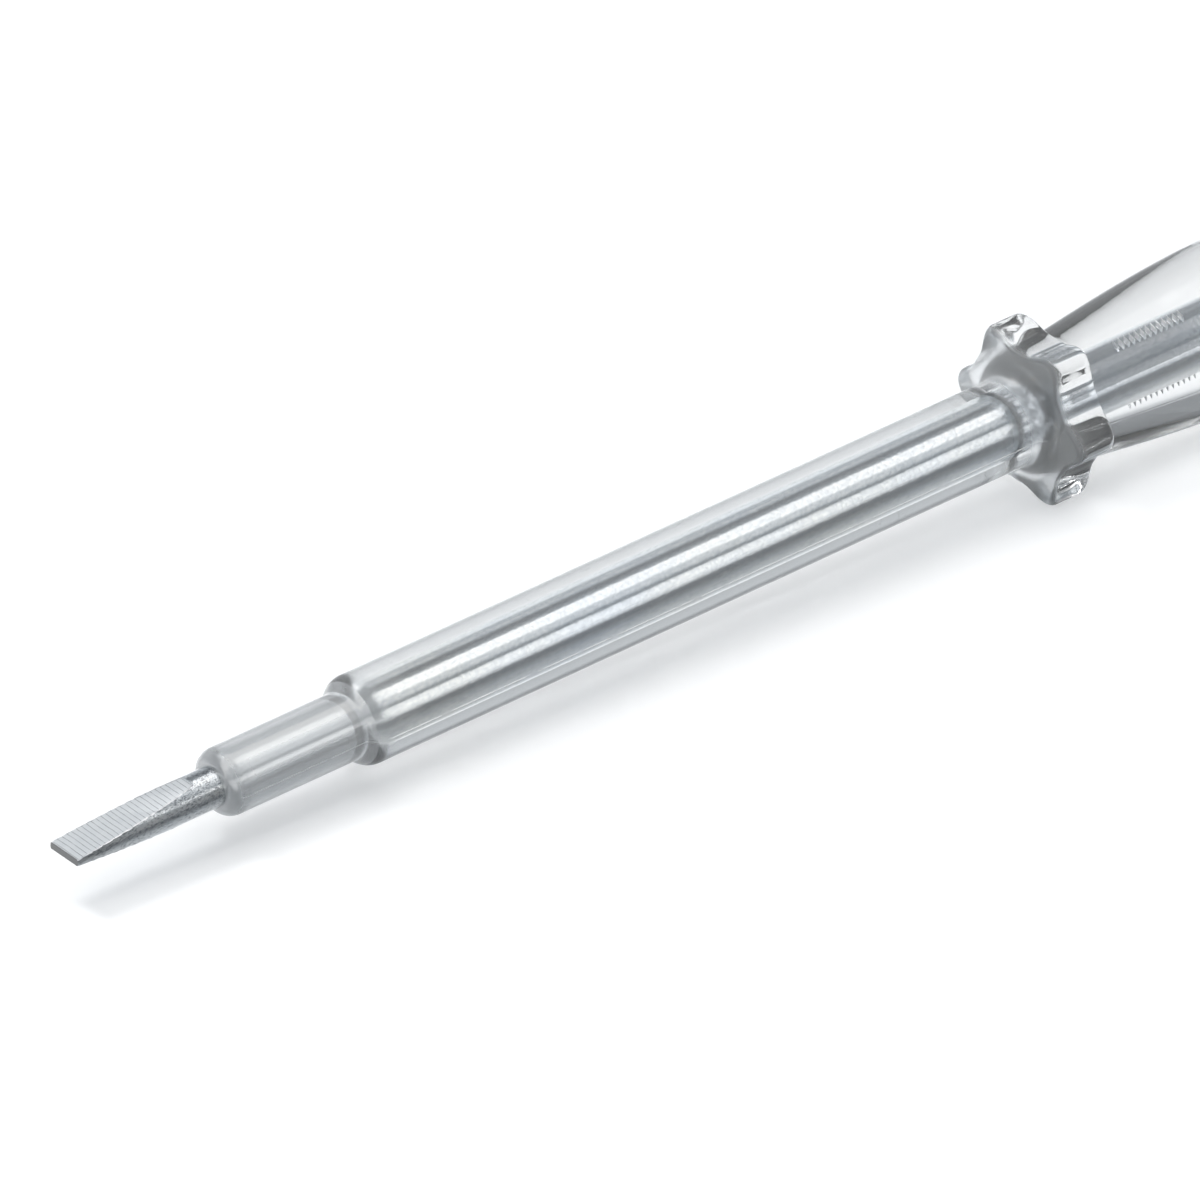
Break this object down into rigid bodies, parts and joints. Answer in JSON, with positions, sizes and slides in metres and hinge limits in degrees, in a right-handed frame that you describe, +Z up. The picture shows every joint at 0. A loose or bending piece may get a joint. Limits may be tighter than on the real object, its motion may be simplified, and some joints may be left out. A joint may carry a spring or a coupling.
{
  "type": "voltage tester screwdriver",
  "caption": "Slim slotted screwdriver with a clear insulated shank, star collar and clear handle that holds a resistor, glow lamp and spring behind a screw plug with a pocket clip.",
  "frame": {"origin": "centre of the blade tip's end face, on the axis of the rod", "axes": "+X along the axis from the blade tip to the rear cap, +Z up as the tool lies on two lobes of its star collar, blade flats facing +Z and -Z, pocket clip on top"},
  "size_m": [0.19, 0.016, 0.0166],
  "materials": {
    "steel": "zinc-plated, streaky, ground flats at the blade",
    "clear_plastic": "clear moulded plastic with a cool grey tint and fine scratches",
    "ceramic": "unglazed ceramic rod",
    "lacquer": "blue-grey resistor lacquer with colour bands",
    "tinned_cap": "tinned steel end cap",
    "glass": "clear lamp glass",
    "nickel": "dull nickel",
    "copper_lead": "copper-clad wire",
    "cement": "baked lamp cement",
    "brass": "plain pressed brass",
    "solder": "dull solder dome",
    "spring_steel": "plated spring steel",
    "plated_brass": "nickel-plated turned brass"
  },
  "bodies": {
    "handle": {"blade_shank": "steel", "clear_body": "clear_plastic", "resistor_core": "ceramic", "resistor_lacquer": "lacquer", "resistor_front_cap": "tinned_cap", "resistor_rear_cap": "tinned_cap", "lamp_glass": "glass", "lamp_front_electrode": "nickel", "lamp_rear_electrode": "nickel", "lamp_front_lead": "copper_lead", "lamp_rear_lead": "copper_lead", "lamp_front_cement": "cement", "lamp_rear_cement": "cement", "lamp_front_cap": "brass", "lamp_rear_cap": "brass", "lamp_front_solder": "solder", "lamp_rear_solder": "solder", "contact_spring": "spring_steel"},
    "clip_ring": {"clip_ring": "spring_steel"},
    "clip_arm": {"clip_arm": "spring_steel"},
    "plug": {"screw_plug": "plated_brass"}
  },
  "joints": [
    {"name": "plug_travel", "type": "slide", "parent": "handle", "child": "clip_ring", "axis": [1, 0, 0], "range_m": [0, 0.006], "deforming": ["contact_spring"]},
    {"name": "plug_turn", "type": "hinge", "parent": "clip_ring", "child": "plug", "pos_m": [0.1825, 0, 0], "axis": [-1, 0, 0], "range_deg": [0, 2160]},
    {"name": "clip_flex", "type": "hinge", "parent": "clip_ring", "child": "clip_arm", "pos_m": [0.1813, 0, 0.0082], "axis": [0, 1, 0], "range_deg": [0, 5], "stiffness_Nm_per_rad": 0.4}
  ],
  "couplings": [
    {"joint": "plug_turn", "follows": "plug_travel", "rad_per_m": 6283.2}
  ]
}
